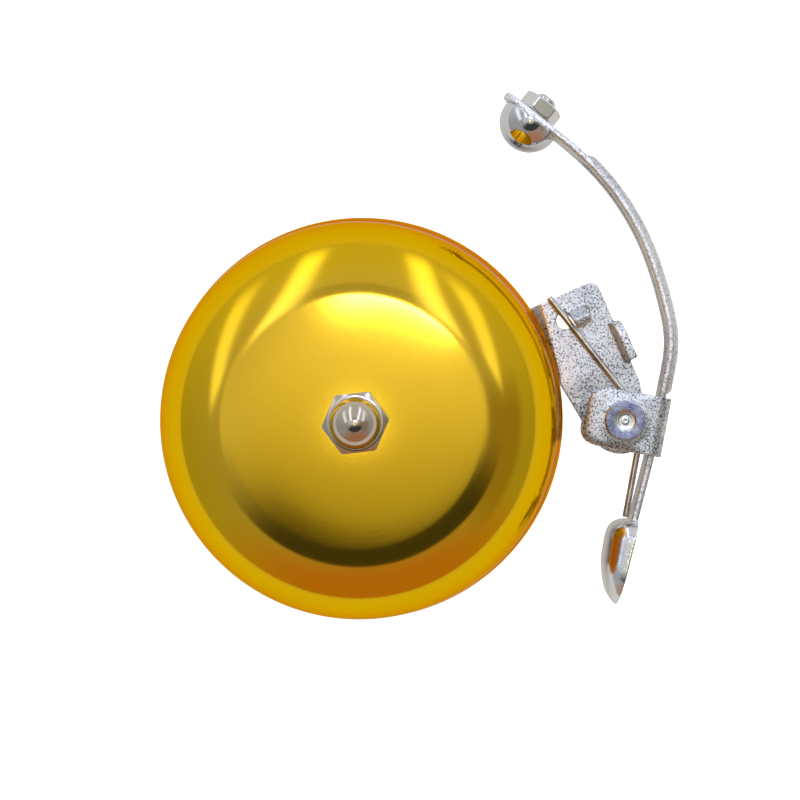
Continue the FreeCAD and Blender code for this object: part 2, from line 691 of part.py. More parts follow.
def hammer_head():
    """A steel button a little more than half a ball, with a threaded shank through the arm."""
    body = new_body("hammer_head")
    rise, tail = "0.4", "-(arm_sheet + 3.2)"
    turned(body, [
        ("0", tail), ("1.1", tail), ("1.5", f"{tail} + 0.4"), ("1.5", "0"),
        (f"sqrt(hammer_radius ^ 2 - {rise} ^ 2)", "0", "hammer_radius"), ("0", f"hammer_radius + {rise}"),
    ])
    return on_hammer_line(body, away=False)


def build():
    nut, thread, screw_top = "stud_nut_width", "stud_radius + 0.02", "split_gap / 2 + band_sheet"
    nut_high, support = "stud_nut_height", "crown_level - shell_wall - 2.12"
    bush_height = "front_ear_level - tongue_upper - 0.1"
    return [
        clamp_band("clamp_saddle", True),
        clamp_band("clamp_strap", False),
        pair("clamp_screws", clamp_screw),
        pair("clamp_lock_washers", lambda name: spring_washer(name, "2.1", "3.6", "1", screw_top)),
        pair("clamp_nuts", lambda name: hex_nut(name, "7", "3.2", "2.02", f"{screw_top} + 1")),
        mounting_bracket(),
        centre_stud(),
        spring_washer("stud_lock_washer", "stud_radius + 0.1", "4.6", "1.2", "base_top"),
        hex_nut("stud_nut", nut, nut_high, thread, "base_top + 1.2"),
        hex_nut("support_nut", nut, nut_high, thread, f"{support} - {nut_high}"),
        washer("support_washer", "stud_radius + 0.05", "5", "1", support),
        washer("seat_washer", "stud_radius + 0.05", "7", "1", f"{support} + 1"),
        bell_shell(),
        acorn_nut(),
        pivot_rivet(),
        at_pivot(washer("rivet_washer", "pivot_shank + 0.02", "3.2", "0.7", "rear_ear_level - 0.85")),
        at_pivot(washer("pivot_bush", "pivot_shank + 0.02", "2.2", bush_height, "tongue_upper")),
        torsion_spring(),
        lever_bracket(),
        striker_arm(),
        hammer_head(),
        on_hammer_line(hex_nut("hammer_nut", "hammer_nut_width", "2.4", "1.52", None), away=True),
    ]


def check(parts):
    """Stops if any feature failed, or if a part isn't a sound shape."""
    doc.recompute()
    failed = [thing.Name for thing in doc.Objects if {"Invalid", "Error"} & set(thing.State)]
    failed += [part.Label for part in parts if part.Shape.isNull() or not part.Shape.isValid()]
    if failed:
        raise RuntimeError(f"failed: {failed}")


parts = build()
check(parts)
os.makedirs("parts", exist_ok=True)
for part in parts:
    part.Shape.exportStep(f"parts/{part.Label}.step")
    print(f"{part.Label:20s} {len(part.Shape.Solids)} solid(s), {part.Shape.Volume:9.1f} mm3")
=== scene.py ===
import math

import bmesh
import bpy
import numpy as np
from mathutils import Matrix, Vector


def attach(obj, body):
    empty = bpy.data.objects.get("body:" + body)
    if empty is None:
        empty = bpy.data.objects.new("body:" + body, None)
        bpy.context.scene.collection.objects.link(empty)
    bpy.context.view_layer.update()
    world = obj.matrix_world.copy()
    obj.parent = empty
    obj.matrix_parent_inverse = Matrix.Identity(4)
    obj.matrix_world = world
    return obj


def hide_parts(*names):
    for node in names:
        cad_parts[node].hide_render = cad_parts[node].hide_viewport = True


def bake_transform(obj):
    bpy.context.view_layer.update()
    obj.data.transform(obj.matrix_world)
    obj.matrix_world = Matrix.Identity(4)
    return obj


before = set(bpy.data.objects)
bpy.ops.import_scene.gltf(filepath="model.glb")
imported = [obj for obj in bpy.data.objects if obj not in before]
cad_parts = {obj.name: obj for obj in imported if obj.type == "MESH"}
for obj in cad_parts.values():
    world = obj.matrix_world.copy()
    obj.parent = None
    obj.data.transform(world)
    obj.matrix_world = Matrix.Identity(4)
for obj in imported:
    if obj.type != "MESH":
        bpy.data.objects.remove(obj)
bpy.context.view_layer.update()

# A hammer bell for a bicycle, seen from straight above its gold shell. Sizes below are in millimetres, in the
# same frame as the CAD parts: the origin is the centre of the clamp's bore, and +Z runs up the shell's axis.
MM = 0.001
RIM_LEVEL = 17.2
CROWN_LEVEL = 45.2
PIVOT = Vector((38.76, -0.22, 0.0))
ARM_LEVEL = 18.5


# ---------------------------------------------------------------- geometry helpers

def radial(degrees):
    angle = math.radians(degrees)
    return np.array([math.cos(angle), math.sin(angle), 0.0])


def shade(obj, sharp=32.0):
    obj.data.shade_smooth()
    obj.data.set_sharp_from_angle(angle=math.radians(sharp))
    return obj


def new_mesh(name, points, faces, sharp=32.0):
    """A mesh piece from points in millimetres, with its faces turned outwards."""
    mesh = bpy.data.meshes.new(name)
    mesh.from_pydata((np.asarray(points, float) * MM).tolist(), [], faces)
    bm = bmesh.new()
    bm.from_mesh(mesh)
    bmesh.ops.remove_doubles(bm, verts=bm.verts, dist=1e-7)
    bmesh.ops.recalc_face_normals(bm, faces=bm.faces)
    bm.to_mesh(mesh)
    bm.free()
    obj = bpy.data.objects.new(name, mesh)
    bpy.context.scene.collection.objects.link(obj)
    return shade(obj, sharp)


def bands(rings, closed_rows=False):
    """Faces between neighbouring rings of vertex numbers. A ring of one vertex is a pole."""
    faces = []
    pairs = list(zip(rings, rings[1:]))
    if closed_rows:
        pairs.append((rings[-1], rings[0]))
    for low, high in pairs:
        count = max(len(low), len(high))
        for i in range(count):
            j = (i + 1) % count
            if len(low) == 1:
                faces.append((low[0], high[j], high[i]))
            elif len(high) == 1:
                faces.append((low[i], low[j], high[0]))
            else:
                faces.append((low[i], low[j], high[j], high[i]))
    return faces


def revolve(name, profile, count=192, closed=False, radius_at=None, sharp=32.0):
    """Turns a profile of (radius, height) about Z. radius_at(radius, degrees) can vary the radius."""
    points, rings = [], []
    for radius, height in profile:
        if radius < 1e-6:
            rings.append([len(points)])
            points.append((0.0, 0.0, height))
            continue
        ring = []
        for k in range(count):
            degrees = 360.0 * k / count
            here = radius_at(radius, degrees) if radius_at else radius
            ring.append(len(points))
            points.append(tuple(radial(degrees) * here + np.array([0.0, 0.0, height])))
        rings.append(ring)
    return new_mesh(name, points, bands(rings, closed), sharp)


def fillet(corners, closed=True, steps=6):
    """Rounds the corners (x, y, radius) of an outline."""
    outline = []
    count = len(corners)
    for i, (x, y, radius) in enumerate(corners):
        here = np.array([x, y], float)
        if radius == 0 or (not closed and i in (0, count - 1)):
            outline.append(tuple(here))
            continue
        before = np.array(corners[i - 1][:2], float) - here
        after = np.array(corners[(i + 1) % count][:2], float) - here
        before, after = before / np.linalg.norm(before), after / np.linalg.norm(after)
        half = math.acos(max(-1.0, min(1.0, float(before @ after)))) / 2
        reach = radius / math.tan(half)
        centre = here + (before + after) / np.linalg.norm(before + after) * radius / math.sin(half)
        first, last = here + before * reach - centre, here + after * reach - centre
        sweep = math.pi - 2 * half
        for k in range(steps + 1):
            t = k / steps
            mixed = first * math.sin((1 - t) * sweep) + last * math.sin(t * sweep)
            outline.append(tuple(centre + mixed / math.sin(sweep)))
    return outline


def applied(obj):
    """Bakes an object's modifiers into its mesh."""
    graph = bpy.context.evaluated_depsgraph_get()
    mesh = bpy.data.meshes.new_from_object(obj.evaluated_get(graph))
    obj.modifiers.clear()
    obj.data = mesh
    return obj


def softened(obj, voxel, rounds, turn=0.0):
    """Fuses an object into one fine skin and rounds its edges a little, as tumbling and plating do. It is
    turned square to the grid first, so that straight sheared edges stay straight."""
    obj.data.transform(Matrix.Rotation(math.radians(-turn), 4, "Z"))
    remesh = obj.modifiers.new("skin", "REMESH")
    remesh.mode = "VOXEL"
    remesh.voxel_size = voxel * MM
    smooth = obj.modifiers.new("round", "SMOOTH")
    smooth.factor = 0.5
    smooth.iterations = rounds
    applied(obj)
    obj.data.transform(Matrix.Rotation(math.radians(turn), 4, "Z"))
    return shade(obj, 60.0)


def from_cad(name, node):
    """A copy of a CAD node's mesh, to be worked on."""
    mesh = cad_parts[node].data.copy()
    mesh.materials.clear()
    obj = bpy.data.objects.new(name, mesh)
    bpy.context.scene.collection.objects.link(obj)
    bm = bmesh.new()
    bm.from_mesh(mesh)
    bmesh.ops.remove_doubles(bm, verts=bm.verts, dist=1e-7)
    bm.to_mesh(mesh)
    bm.free()
    return obj


def moved(obj, change):
    """Moves each vertex of a mesh by a function of its place, in millimetres."""
    count = len(obj.data.vertices)
    flat = np.empty(count * 3)
    obj.data.vertices.foreach_get("co", flat)
    points = flat.reshape(-1, 3) / MM
    obj.data.vertices.foreach_set("co", (change(points) * MM).ravel())
    obj.data.update()
    return obj


def threaded(obj, axis, low, high, pitch, radius, depth):
    """Cuts a screw thread into a rod that stands along Z. It fades out over a pitch at each end."""
    wall_tolerance, steepness, crest = 0.25, 1.3, 0.15

    def cut(points):
        across = points[:, :2] - np.array(axis)
        reach = np.linalg.norm(across, axis=1)
        turn = np.arctan2(across[:, 1], across[:, 0]) / (2 * math.pi)
        phase = np.abs(((points[:, 2] / pitch - turn) % 1.0) * 2 - 1)
        fade = np.clip((points[:, 2] - low) / pitch, 0, 1) * np.clip((high - points[:, 2]) / pitch, 0, 1)
        on_wall = (np.abs(reach - radius) < wall_tolerance).astype(float)
        groove = np.clip(phase * steepness - crest, 0, 1)
        share = 1 - depth * fade * on_wall * groove / np.maximum(reach, 0.1)
        points = points.copy()
        points[:, :2] = np.array(axis) + across * share[:, None]
        return points
    return moved(obj, cut)


def smoothstep(low, high, value):
    """Rises smoothly from 0 at a low value to 1 at a high one, or falls if low is the larger."""
    t = np.clip((value - low) / (high - low), 0, 1)
    return t * t * (3 - 2 * t)


# ---------------------------------------------------------------- node helpers

class Nodes:
    """A node tree, built by short calls. A value can be a number, a colour or another node's socket."""

    def __init__(self, tree):
        self.tree = tree

    def add(self, kind, inputs=(), **settings):
        node = self.tree.nodes.new(kind)
        for name, value in settings.items():
            setattr(node, name, value)
        for name, value in dict(inputs).items():
            self.give(node.inputs[name], value)
        return node

    def give(self, socket, value):
        if isinstance(value, bpy.types.NodeSocket):
            self.tree.links.new(value, socket)
        else:
            socket.default_value = value

    def math(self, operation, first, second=0.0):
        return self.add("ShaderNodeMath", {0: first, 1: second}, operation=operation).outputs[0]

    def scaled(self, value, factor, offset):
        return self.math("ADD", self.math("MULTIPLY", value, factor), offset)

    def ramp(self, value, low, high, out_low=0.0, out_high=1.0, smooth=True):
        kind = "SMOOTHSTEP" if smooth else "LINEAR"
        return self.add("ShaderNodeMapRange", {
            "Value": value, "From Min": low, "From Max": high, "To Min": out_low, "To Max": out_high},
            interpolation_type=kind).outputs["Result"]

    def mix(self, share, first, second):
        node = self.add("ShaderNodeMix", data_type="RGBA")
        self.give(node.inputs["Factor"], share)
        self.give(node.inputs[6], first)
        self.give(node.inputs[7], second)
        return node.outputs[2]

    def axes(self, place):
        return self.add("ShaderNodeSeparateXYZ", {0: place}).outputs


class Shader(Nodes):
    """A material and its node tree. Places in it are the object's own, in metres."""

    SOCKETS = {"colour": "Base Color", "metal": "Metallic", "rough": "Roughness", "normal": "Normal",
               "coat": "Coat Weight", "coat_rough": "Coat Roughness", "tint": "Specular Tint",
               "glow_colour": "Emission Color", "glow": "Emission Strength"}

    def __init__(self, name):
        self.material = bpy.data.materials.new(name)
        self.material.use_nodes = True
        super().__init__(self.material.node_tree)
        self.place = self.add("ShaderNodeTexCoord").outputs["Object"]

    def noise(self, scale, detail=3.0, roughness=0.55, place=None):
        return self.add("ShaderNodeTexNoise", {
            "Vector": place or self.place, "Scale": scale, "Detail": detail,
            "Roughness": roughness}).outputs["Fac"]

    def squeezed(self, amount):
        """Places with their heights multiplied, which lays a noise out in level streaks."""
        return self.add("ShaderNodeMapping", {"Vector": self.place, "Scale": (1.0, 1.0, amount)}).outputs[0]

    def varied(self, value, noise, amount):
        """A value that a noise moves up and down by half of an amount."""
        return self.math("ADD", value, self.math("MULTIPLY", self.math("SUBTRACT", noise, 0.5), amount))

    def radius(self, centre=(0.0, 0.0)):
        """The distance from an upright line through a centre, given in millimetres."""
        x, y, _ = self.axes(self.place)
        x = self.math("SUBTRACT", x, centre[0] * MM)
        y = self.math("SUBTRACT", y, centre[1] * MM)
        return self.math("SQRT", self.math("ADD", self.math("MULTIPLY", x, x), self.math("MULTIPLY", y, y)))

    def bump(self, height, distance, strength=1.0, normal=None):
        inputs = {"Height": height, "Distance": distance * MM, "Strength": strength}
        if normal is not None:
            inputs["Normal"] = normal
        return self.add("ShaderNodeBump", inputs).outputs["Normal"]

    def finish(self, **inputs):
        surface = self.tree.nodes["Principled BSDF"]
        for name, value in inputs.items():
            self.give(surface.inputs[self.SOCKETS[name]], value)
        return self.material


def rgb(red, green, blue):
    return (red, green, blue, 1.0)


def per_mm(count):
    """A texture's scale for so many repeats in a millimetre."""
    return count / MM


# ---------------------------------------------------------------- materials

def gold_anodised():
    """Dyed anodised aluminium: satin on the crown and glossier down the sides, with fine lathe marks and
    grain. Low on the skirt the colour is painted darker and more orange, a painted shade and warm
    reflection, and the rim is bare and bright where it was trimmed."""
    yellow, straw = rgb(0.91, 0.570, 0.010), rgb(0.93, 0.595, 0.016)
    fleck, painted_skirt_orange, bare = rgb(0.70, 0.42, 0.01), rgb(0.86, 0.350, 0.004), rgb(0.93, 0.72, 0.50)
    gloss_rough, satin_rough = 0.105, 0.122
    s = Shader("gold_anodised")
    radius = s.radius()
    level = s.math("SUBTRACT", s.axes(s.place)[2], RIM_LEVEL * MM)
    cloud = s.noise(per_mm(0.09), 3.0)
    grain = s.noise(per_mm(3.2), 2.0, 0.6)
    fine = s.noise(per_mm(7.5), 2.0, 0.6)
    satin = s.ramp(radius, 16.0 * MM, 21.0 * MM, 1.0, 0.0)
    rough = s.ramp(satin, 0.0, 1.0, gloss_rough, satin_rough, smooth=False)
    rough = s.varied(s.varied(rough, cloud, 0.02), grain, 0.03)
    marks = s.add("ShaderNodeTexNoise", {
        "W": s.math("MULTIPLY", s.math("SUBTRACT", radius, level), per_mm(1.6)), "Scale": 1.0, "Detail": 4.0,
        "Roughness": 0.65}, noise_dimensions="1D").outputs["Fac"]
    colour = s.mix(cloud, yellow, straw)
    speck = s.ramp(satin, 0.0, 1.0, 0.08, 0.30)
    colour = s.mix(s.math("MULTIPLY", s.ramp(fine, 0.40, 0.66), speck), colour, fleck)
    # painted shade and warm reflection: the skirt is painted darker and more orange towards the rim
    colour = s.mix(s.ramp(level, 22.0 * MM, 8.0 * MM), colour, painted_skirt_orange)
    colour = s.mix(s.ramp(level, 0.25 * MM, 0.75 * MM, 1.0, 0.0), colour, bare)
    normal = s.bump(marks, 0.008, 0.08)
    normal = s.bump(grain, 0.010, s.scaled(satin, 0.08, 0.03), normal)
    normal = s.bump(fine, 0.006, 0.08, normal)
    coat = s.ramp(radius, 17.0 * MM, 24.0 * MM, 0.70, 0.0)
    return s.finish(colour=colour, metal=1.0, rough=rough, normal=normal, coat=coat, coat_rough=0.10,
                    tint=rgb(1.0, 0.62, 0.10))


def plated(name, light, dark, grain_size, rough, grain=0.5, flow=0.35, rubbed=None):
    """Zinc plate over steel sheet: crystalline sparkle, drawing marks, and dull worn patches. Where it is
    rubbed, between one y and a lower one, it turns smooth and shiny."""
    pit_colour, shiny = rgb(0.05, 0.05, 0.06), 0.45
    s = Shader(name)
    crystals = s.add("ShaderNodeTexVoronoi", {"Vector": s.place, "Scale": per_mm(1 / grain_size)},
                     feature="F1").outputs["Color"]
    facet = s.add("ShaderNodeSeparateColor", {0: crystals}).outputs[0]
    grit = s.noise(per_mm(0.90 / grain_size), 3.0, 0.68)
    waves = s.noise(per_mm(0.28), 3.0, 0.5)
    patches = s.noise(per_mm(0.10), 4.0, 0.6)
    colour = s.mix(s.ramp(patches, 0.35, 0.7), light, dark)
    pits = s.math("MULTIPLY", s.ramp(s.varied(grit, patches, 0.22), 0.52, 0.59), grain)
    keen = s.ramp(s.axes(s.place)[1], rubbed[1] * MM, rubbed[0] * MM) if rubbed else 1.0
    pits = s.math("MULTIPLY", pits, keen)
    colour = s.mix(pits, colour, pit_colour)
    roughness = s.scaled(facet, 0.10, rough - 0.05)
    roughness = s.math("ADD", roughness, s.math("MULTIPLY", s.ramp(grit, 0.5, 0.7), 0.14))
    roughness = s.math("MULTIPLY", roughness, s.ramp(keen, 0.0, 1.0, shiny, 1.0, smooth=False))
    normal = s.bump(waves, 0.10, flow)
    normal = s.bump(grit, 0.070, s.math("MULTIPLY", keen, grain * 0.8), normal)
    normal = s.bump(facet, 0.012, grain * 0.7, normal)
    return s.finish(colour=colour, metal=1.0, rough=roughness, normal=normal)


def polished(name, colour, rough, scratches=0.10):
    """Bright nickel or polished steel, with faint hairlines and smears."""
    s = Shader(name)
    hair = s.noise(per_mm(1.6), 4.0, 0.6, place=s.squeezed(9.0))
    smear = s.noise(per_mm(0.35), 3.0)
    dull = rgb(*(channel * 0.72 for channel in colour[:3]))
    tone = s.mix(s.math("MULTIPLY", s.ramp(smear, 0.4, 0.75), 0.30), colour, dull)
    roughness = s.scaled(smear, 0.09, rough - 0.03)
    normal = s.bump(hair, 0.012, scratches)
    return s.finish(colour=tone, metal=1.0, rough=roughness, normal=normal)


def drawn_wire():
    """Bright spring wire, with die lines along it."""
    s = Shader("drawn_wire")
    fine = s.noise(per_mm(2.2), 4.0, 0.6)
    patches = s.noise(per_mm(0.5), 2.0)
    colour = s.mix(s.ramp(patches, 0.35, 0.7), rgb(0.74, 0.73, 0.71), rgb(0.52, 0.52, 0.53))
    rough = s.scaled(fine, 0.12, 0.13)
    return s.finish(colour=colour, metal=1.0, rough=rough, normal=s.bump(fine, 0.018, 0.25))


def peened_rivet():
    """The rivet's head: bluish passivated zinc, with a bright dimple and rings left by the peening tool."""
    bright, deep_blue, pale_blue = rgb(0.72, 0.75, 0.80), rgb(0.17, 0.20, 0.37), rgb(0.40, 0.43, 0.56)
    s = Shader("peened_rivet")
    radius = s.radius(PIVOT)
    grit = s.noise(per_mm(3.6), 4.0, 0.7)
    patches = s.noise(per_mm(0.8), 3.0, 0.6)
    blue = s.mix(s.ramp(patches, 0.35, 0.65), deep_blue, pale_blue)
    outside_dimple = s.ramp(radius, 1.45 * MM, 1.75 * MM)
    inside_edge = s.ramp(radius, 2.65 * MM, 2.95 * MM, 1.0, 0.4)
    ring = s.math("MULTIPLY", outside_dimple, inside_edge)
    colour = s.mix(ring, bright, blue)
    colour = s.mix(s.math("MULTIPLY", s.ramp(grit, 0.54, 0.66), 0.6), colour, rgb(0.80, 0.82, 0.92))
    tool = s.math("SINE", s.math("MULTIPLY", radius, 2 * math.pi * per_mm(3.0)))
    normal = s.bump(tool, 0.02, 0.22)
    normal = s.bump(grit, 0.03, 0.40, normal)
    rough = s.math("ADD", s.math("MULTIPLY", ring, 0.14), s.scaled(grit, 0.15, 0.12))
    return s.finish(colour=colour, metal=1.0, rough=rough, normal=normal)


def fibre():
    """Red-brown vulcanised fibre, with a faint laid texture."""
    s = Shader("fibre")
    flecks = s.noise(per_mm(2.0), 5.0, 0.65)
    laid = s.noise(per_mm(0.8), 3.0, 0.5, place=s.squeezed(8.0))
    colour = s.mix(s.ramp(flecks, 0.3, 0.7), rgb(0.15, 0.035, 0.022), rgb(0.26, 0.075, 0.045))
    rough = s.scaled(flecks, 0.2, 0.50)
    normal = s.bump(flecks, 0.03, 0.4)
    return s.finish(colour=colour, metal=0.0, rough=rough, normal=s.bump(laid, 0.04, 0.35, normal))


def floor_paper():
    """Plain paper that glows where the camera looks straight at it, so that it looks white but throws only a
    little light up at the bell."""
    s = Shader("floor_paper")
    fibres = s.noise(per_mm(0.02), 4.0)
    colour = s.mix(s.ramp(fibres, 0.3, 0.7), rgb(0.67, 0.66, 0.60), rgb(0.65, 0.64, 0.58))
    seen = s.add("ShaderNodeLightPath").outputs["Is Camera Ray"]
    return s.finish(colour=colour, rough=0.9, metal=0.0, glow_colour=rgb(1.0, 1.0, 1.0),
                    glow=s.scaled(seen, 0.8, 0.07))


GOLD = gold_anodised()
ZINC = plated("zinc_plate", rgb(0.93, 0.96, 0.98), rgb(0.74, 0.80, 0.83), grain_size=0.26, grain=0.88,
              rough=0.33)
ZINC_SMOOTH = plated("zinc_plate_smooth", rgb(0.92, 0.94, 0.96), rgb(0.76, 0.80, 0.83), grain_size=0.26,
                     rough=0.33, flow=0.3, rubbed=(-13.0, -16.0))
ZINC_DULL = plated("zinc_plate_dull", rgb(0.66, 0.68, 0.70), rgb(0.54, 0.56, 0.59), grain_size=0.40,
                   grain=0.35, rough=0.32, flow=0.3)
NICKEL = polished("bright_nickel", rgb(0.64, 0.57, 0.47), rough=0.10)
NUT = polished("zinc_nut", rgb(0.80, 0.82, 0.84), rough=0.16, scratches=0.20)
BALL = polished("polished_ball", rgb(0.72, 0.74, 0.76), rough=0.06)
WIRE = drawn_wire()
RIVET = peened_rivet()
FIBRE = fibre()


def piece(obj, body, material, slot, *nodes):
    """Gives a piece its material and its place in the frame, instead of the CAD nodes it shows."""
    obj.data.materials.clear()
    obj.data.materials.append(material)
    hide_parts(*nodes)
    if body:
        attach(obj, body)
    return obj


# ---------------------------------------------------------------- shell and acorn nut

def shell():
    """The spun dome. The crown is nearly flat, and runs smoothly into the shoulder and the skirt."""
    height, wall, hole, crown, crown_curve, skirt = 28.0, 1.8, 2.6, 17.3, 214.1, 28.3
    flare, lip_top = 1.35, 1.1
    slope = math.asin(crown / crown_curve)
    shoulder = (skirt - crown) / (1 - math.sin(slope))
    crown_edge = height - crown_curve * (1 - math.cos(slope))
    centre = (crown - shoulder * math.sin(slope), crown_edge - shoulder * math.cos(slope))

    def skin(inset):
        curve, bend = crown_curve - inset, shoulder - inset
        top = height - inset
        flat = [(r, top - curve + math.sqrt(curve**2 - r**2))
                for r in np.linspace(hole, curve * math.sin(slope), 30)]
        turn = [(centre[0] + bend * math.sin(a), centre[1] + bend * math.cos(a))
                for a in np.linspace(slope, math.pi / 2, 72)[1:]]
        return flat + turn

    foot = [(skirt + flare * t**1.5, centre[1] * (1 - t) + lip_top * t) for t in np.linspace(0.06, 1, 18)]
    lip = [(29.75, 0.95), (29.9, 0.78), (29.98, 0.6), (30.0, 0.42), (29.98, 0.24), (29.9, 0.1), (29.76, 0.02),
           (29.6, 0.0), (28.3, 0.0), (28.1, 0.05), (27.95, 0.18), (27.86, 0.4)]
    inner = [(skirt - wall + flare * (1 - t) ** 1.5, 0.4 + (centre[1] - 0.4) * t)
             for t in np.linspace(0.06, 0.96, 14)]
    hole_edge = [(hole, height - wall + 0.12), (hole, height - 0.15), (hole + 0.04, height - 0.05)]
    profile = hole_edge + skin(0.0) + foot + lip + inner + skin(wall)[::-1]
    profile = [(r, z + RIM_LEVEL) for r, z in profile]
    obj = revolve("shell", profile, 288, closed=True, sharp=40.0)
    return piece(obj, "base", GOLD, "gold_anodised_aluminium", "bell_shell")


def hexagonal(half_width, rounding=70.0):
    """A radius limit by angle: a hexagon with slightly rounded corners, its flats square to 0 degrees."""
    def limit(degrees):
        total = 0.0
        for k in range(6):
            total += max(0.0, math.cos(math.radians(degrees - 60 * k))) ** rounding
        return half_width / total ** (1 / rounding)
    return limit


def acorn():
    """A domed cap nut: chamfered hexagon, a small step, and a polished hollow dome."""
    width, height, collar, turn, corner = 8.0, 4.2, 5.2, -23.5, 4.72
    tapped, blind, mouth, drill_point = 2.52, 5.6, 2.65, 6.6
    seat_gap = 0.02
    limit = hexagonal(width / 2)
    dome, face = width * 0.43, width * 0.475
    chamfer = 0.577

    def radius_at(radius, degrees):
        return min(radius, limit(degrees - turn)) if radius > face + 1e-4 else radius

    def trim(points):
        """Puts the hexagon's ends on the chamfer's cone again, after the flats have cut its radius."""
        reach = np.linalg.norm(points[:, :2], axis=1)
        points = points.copy()
        on_hex = (reach > face + 1e-3) & (points[:, 2] < height + 0.01)
        upper = points[:, 2] > height / 2
        drop = np.clip(reach - face, 0, None) * chamfer
        points[:, 2] = np.where(on_hex & upper, np.minimum(points[:, 2], height - drop), points[:, 2])
        points[:, 2] = np.where(on_hex & ~upper, np.maximum(points[:, 2], drop), points[:, 2])
        return points

    cone = [(r, (r - face) * chamfer) for r in np.linspace(face, corner, 10)]
    upper_cone = [(r, height - drop) for r, drop in reversed(cone)]
    step = [(face - 0.08, height + 0.02), (dome + 0.13, height + 0.03), (dome + 0.04, height + 0.10),
            (dome, height + 0.24), (dome, height + 0.6)]
    cap = [(dome * math.cos(a), collar + dome * math.sin(a)) for a in np.linspace(0, math.pi / 2, 48)]
    cap[-1] = (0.0, collar + dome)
    inside = [(0.0, drill_point), (tapped, blind), (tapped, 0.12), (mouth, 0.0)]
    obj = revolve("acorn_cap", inside + cone + upper_cone + step + cap, 360, radius_at=radius_at, sharp=28.0)
    moved(obj, trim)
    obj.data.transform(Matrix.Translation((0, 0, (CROWN_LEVEL + seat_gap) * MM)))
    return piece(obj, "base", NICKEL, "bright_nickel", "acorn_nut")


# ---------------------------------------------------------------- striker

# Runs of the arm's line from its fork end: a straight's length, or a bend's radius and the degrees it turns.
ARM_STEPS = [(9.14,), (30.2, 3.3), (13.32,), (16.7, 23.0), (68.8, 7.0), (38.8, 29.5), (82.0, 2.8), (9.9,)]
ARM_TURN = 75.77 - 90
ARM_PLACE = (40.29, -15.42, ARM_LEVEL)
HALF_WIDTH, HALF_SHEET = 3.0, 0.5
HOLE_FROM_END = 5.4


def arm_line(step_length=0.3):
    """Places and headings along the arm's centreline, and the distance to each."""
    place, heading, run = np.zeros(3), 90.0, 0.0
    line = [(place, heading, run)]
    for step in ARM_STEPS:
        length = step[0] if len(step) == 1 else step[0] * math.radians(step[1])
        count = max(2, round(length / step_length))
        turn = step[1] / count if len(step) == 2 else 0.0
        for _ in range(count):
            chord = length / count if turn == 0 else 2 * step[0] * math.sin(math.radians(turn) / 2)
            place = place + radial(heading + turn / 2) * chord
            heading += turn
            run += length / count
            line.append((place, heading, run))
    return line


def arm_strip():
    """The bent strip, with its edges eased, its far end rounded, and a bead pressed out along its middle."""
    bead_from, bead_to, bead_rise, bead_half = 19.4, 58.5, 0.9, 1.55
    groove_depth, groove_half = 0.45, 1.05
    edge, tip = 0.16, 2.3
    line = arm_line()
    total = line[-1][2]

    def ridge(z, height, half):
        return height * max(0.0, 1 - abs(z / half) ** 2.4) ** 0.75

    def eased_edge(face, end, half, degrees):
        """Points round an edge of the strip. face is 1 outside and -1 inside, end is 1 above and -1 below."""
        angles = np.radians(degrees)
        return [(face * (HALF_SHEET - edge + edge * math.cos(a)), end * (half - edge + edge * math.sin(a)))
                for a in angles]

    points, rings = [], []
    for place, heading, run in line:
        right = radial(heading - 90)
        left_over = total - run
        half = HALF_WIDTH
        if left_over < tip:
            half = HALF_WIDTH - tip + math.sqrt(max(0.0, tip**2 - (tip - left_over) ** 2))
        begun = smoothstep(bead_from, bead_from + 0.8, run)
        share = float(begun * smoothstep(bead_to + 0.4, bead_to - 1.6, run))
        across = np.linspace(-(half - edge), half - edge, 27)
        loop = [(HALF_SHEET + share * ridge(z, bead_rise, bead_half), z) for z in across]
        loop += eased_edge(1, 1, half, (30, 60, 90))
        loop += eased_edge(-1, 1, half, (90, 60, 30))
        loop += [(-HALF_SHEET + share * ridge(z, groove_depth, groove_half), z) for z in across[::-1]]
        loop += eased_edge(-1, -1, half, (30, 60, 90))
        loop += eased_edge(1, -1, half, (90, 60, 30))
        rings.append(list(range(len(points), len(points) + len(loop))))
        points += [place + right * offset + np.array([0, 0, z]) for offset, z in loop]
    faces = bands(rings)
    faces += [tuple(rings[0]), tuple(reversed(rings[-1]))]
    return new_mesh("arm_strip", points, faces)


